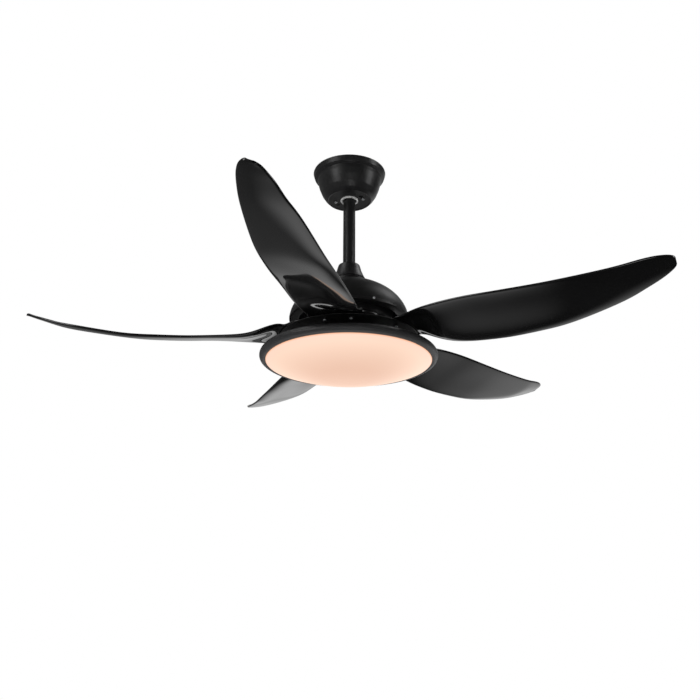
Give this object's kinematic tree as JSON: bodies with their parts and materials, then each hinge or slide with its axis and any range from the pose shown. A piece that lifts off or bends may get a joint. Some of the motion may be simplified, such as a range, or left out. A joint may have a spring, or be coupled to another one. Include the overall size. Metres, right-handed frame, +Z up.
{
  "type": "ceiling fan with light",
  "caption": "Black ceiling fan on a short downrod, with leaf-shaped upswept blades, a domed motor housing and a round opal light in a rolled bezel.",
  "frame": {"origin": "centre of the ceiling contact face, on the fan's axis", "axes": "+Z up into the ceiling along the fan's axis, -Y towards the front, from where the picture is taken, +X to the right"},
  "size_m": [1.2309, 1.2534, 0.4838],
  "materials": {
    "satin_black": "satin black powder coat",
    "gloss_black_shell": "smooth glossy black paint",
    "gloss_black_blade": "glossy moulded black plastic",
    "zinc_plate": "bright zinc plate",
    "machined_steel": "machined steel",
    "dark_iron": "dark cast and laminated iron",
    "copper_wire": "enamelled copper wire",
    "cast_aluminium": "cast aluminium",
    "grey_nylon": "light grey nylon",
    "white_plastic": "white moulded plastic",
    "board_white": "white solder mask",
    "opal_acrylic": "opal acrylic, lit warm from inside"
  },
  "bodies": {
    "ceiling_fixing": {"ceiling_bracket": "zinc_plate", "bracket_screw_1": "machined_steel", "bracket_screw_2": "machined_steel", "receiver_box": "white_plastic", "canopy": "satin_black", "canopy_screw_1": "zinc_plate", "canopy_screw_2": "zinc_plate", "split_collar": "grey_nylon"},
    "ball": {"hanger_ball": "satin_black", "ball_cross_pin": "machined_steel"},
    "drop": {"downrod": "satin_black", "coupling_cover": "satin_black", "motor_yoke": "dark_iron", "yoke_pin": "machined_steel", "yoke_pin_clip": "zinc_plate", "yoke_set_screw": "machined_steel", "motor_dome": "gloss_black_shell", "dome_lower_ring": "satin_black", "dome_screw_1": "zinc_plate", "dome_screw_2": "zinc_plate", "dome_screw_3": "zinc_plate", "motor_shaft": "machined_steel", "upper_bearing": "machined_steel", "lower_bearing": "machined_steel", "stator_core": "dark_iron", "stator_windings": "copper_wire", "stator_carrier": "cast_aluminium", "light_hub": "satin_black", "shaft_nut": "zinc_plate", "led_driver": "white_plastic", "light_tray": "satin_black", "light_tray_screw_1": "zinc_plate", "light_tray_screw_2": "zinc_plate", "light_tray_screw_3": "zinc_plate", "led_board": "board_white", "bezel_ring": "satin_black"},
    "rotor": {"rotor_bell": "satin_black", "magnet_ring": "dark_iron", "rotor_base": "satin_black", "blade_plate": "satin_black", "blade_1": "gloss_black_blade", "blade_2": "gloss_black_blade", "blade_3": "gloss_black_blade", "blade_4": "gloss_black_blade", "blade_5": "gloss_black_blade", "blade_screw_1_1": "zinc_plate", "blade_screw_1_2": "zinc_plate", "blade_screw_2_1": "zinc_plate", "blade_screw_2_2": "zinc_plate", "blade_screw_3_1": "zinc_plate", "blade_screw_3_2": "zinc_plate", "blade_screw_4_1": "zinc_plate", "blade_screw_4_2": "zinc_plate", "blade_screw_5_1": "zinc_plate", "blade_screw_5_2": "zinc_plate"},
    "shade": {"diffuser": "opal_acrylic"}
  },
  "joints": [
    {"name": "ball_rock", "type": "hinge", "parent": "ceiling_fixing", "child": "ball", "pos_m": [0, 0, -0.042], "axis": [0.9781, -0.2079, 0], "range_deg": [-2.5, 2.5]},
    {"name": "rod_rock", "type": "hinge", "parent": "ball", "child": "drop", "pos_m": [0, 0, -0.042], "axis": [0.2079, 0.9781, 0], "range_deg": [-2.5, 2.5]},
    {"name": "rotor_spin", "type": "hinge", "parent": "drop", "child": "rotor", "pos_m": [0, 0, -0.38], "axis": [0, 0, 1], "continuous": true},
    {"name": "diffuser_twist", "type": "hinge", "parent": "drop", "child": "shade", "pos_m": [0, 0, -0.4486], "axis": [0, 0, -1], "range_deg": [0, 20]}
  ]
}
